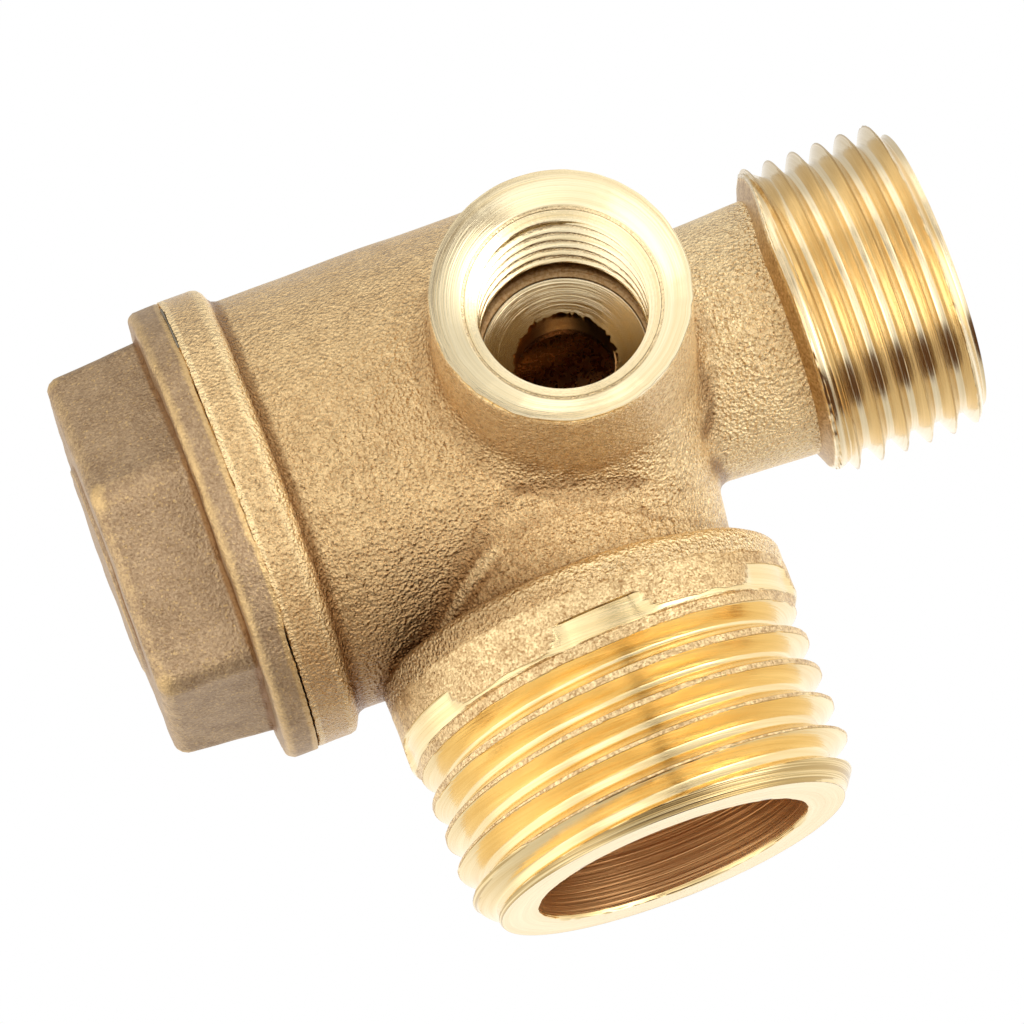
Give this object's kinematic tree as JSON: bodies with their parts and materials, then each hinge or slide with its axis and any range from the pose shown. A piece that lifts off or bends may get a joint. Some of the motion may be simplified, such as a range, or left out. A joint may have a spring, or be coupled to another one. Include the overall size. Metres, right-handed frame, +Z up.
{
  "type": "three-way non-return valve",
  "caption": "Small brass check valve for an air compressor: forged body with two male thread ports and a tapped side boss, hexagonal end cap, sprung poppet inside.",
  "frame": {"origin": "centre of the bounding box's base, in the plane of the tank port's flat end", "axes": "+X along the barrel towards the inlet thread, -Y out of the unloader boss, +Z up, away from the tank port"},
  "size_m": [0.0456, 0.0306, 0.0368],
  "materials": {
    "forged_brass": "sand-blasted forging with bright machined ports",
    "dark_brass": "sand-blasted forging, darker and browner",
    "sealing_ring": "grey sealing ring",
    "turned_brass": "turned, bright",
    "black_rubber": "matt moulded rubber",
    "spring_steel": "bright drawn wire"
  },
  "bodies": {
    "housing": {"valve_body": "forged_brass", "hex_cap": "dark_brass", "cap_gasket": "sealing_ring", "return_spring": "spring_steel"},
    "piston": {"poppet": "turned_brass", "poppet_seal": "black_rubber"}
  },
  "joints": [
    {"name": "poppet_lift", "type": "slide", "parent": "housing", "child": "piston", "axis": [-1, 0, 0], "range_m": [0, 0.0035], "stiffness_N_per_m": 120, "springref_m": -0.002, "deforming": ["return_spring"]}
  ]
}
